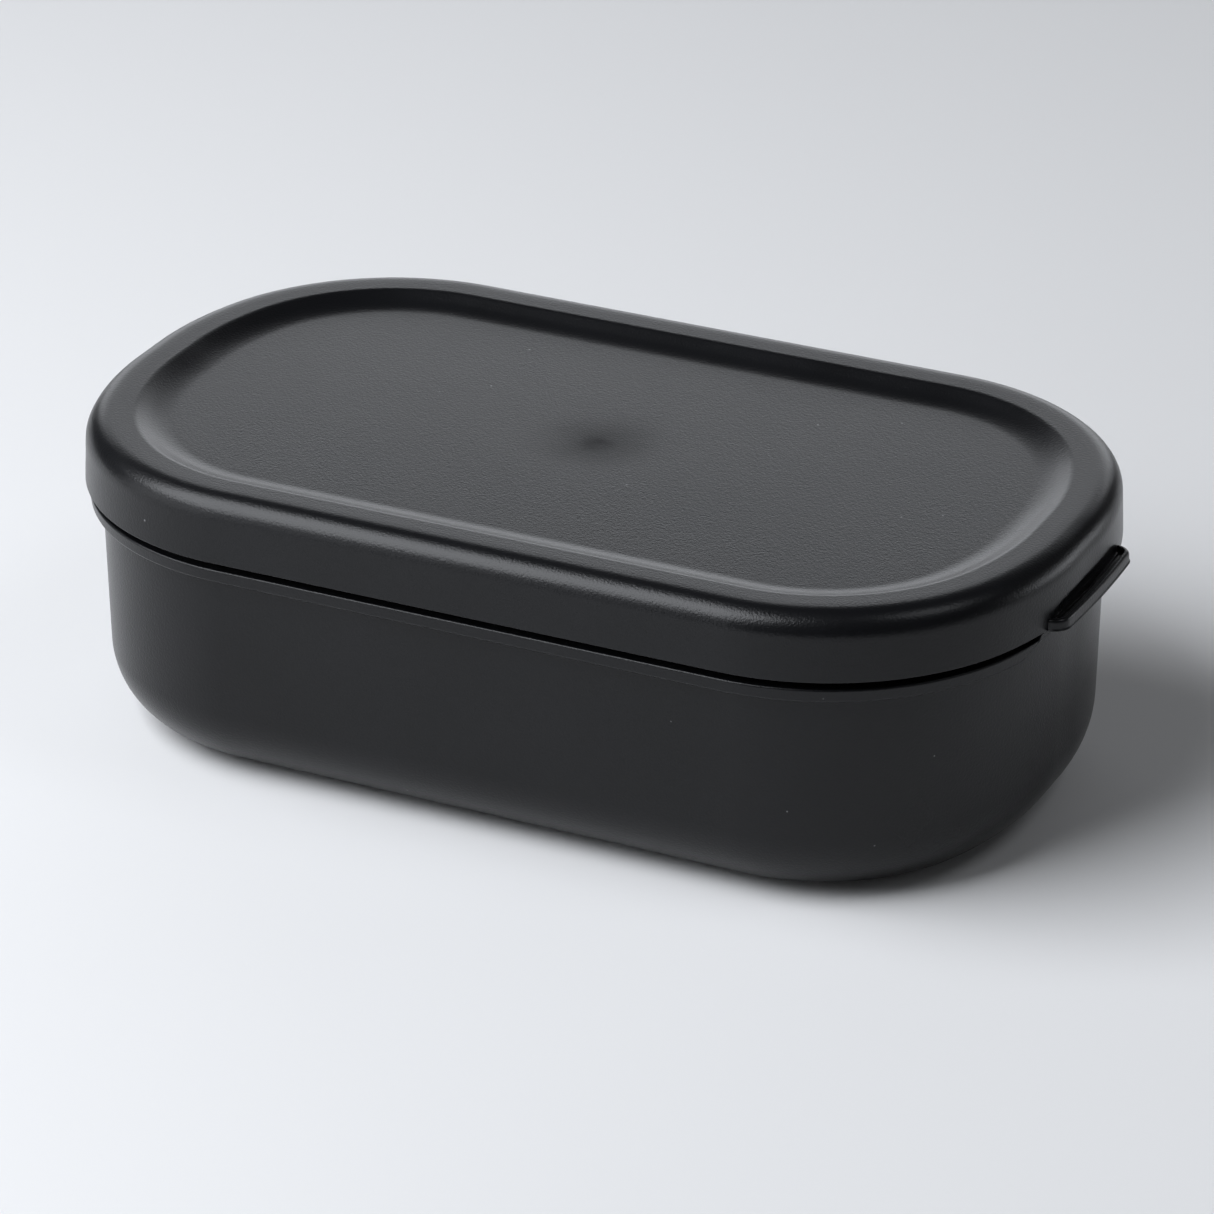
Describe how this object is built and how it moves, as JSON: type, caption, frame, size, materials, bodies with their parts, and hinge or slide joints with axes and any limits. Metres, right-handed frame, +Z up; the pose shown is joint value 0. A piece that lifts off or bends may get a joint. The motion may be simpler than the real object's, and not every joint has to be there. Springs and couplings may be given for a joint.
{
  "type": "lunch box",
  "caption": "Rounded oblong moulded lunch box: a deep container with a flanged rim under a lift-off snap lid with a dished top and a thumb tab at one end.",
  "frame": {"origin": "centre of the container's flat base, on the surface it stands on", "axes": "+X along the box's length towards the lid's thumb tab, +Y across it, +Z up"},
  "size_m": [0.1872, 0.1086, 0.0565],
  "materials": {
    "container_plastic": "fine spark-eroded grain, black polypropylene",
    "lid_plastic": "fine spark-eroded grain, black polypropylene"
  },
  "bodies": {
    "container": {"container": "container_plastic"},
    "lid": {"lid": "lid_plastic"}
  },
  "joints": [
    {"name": "lid_lift", "type": "slide", "parent": "container", "child": "lid", "axis": [0, 0, 1], "range_m": [0, 0.08]}
  ]
}
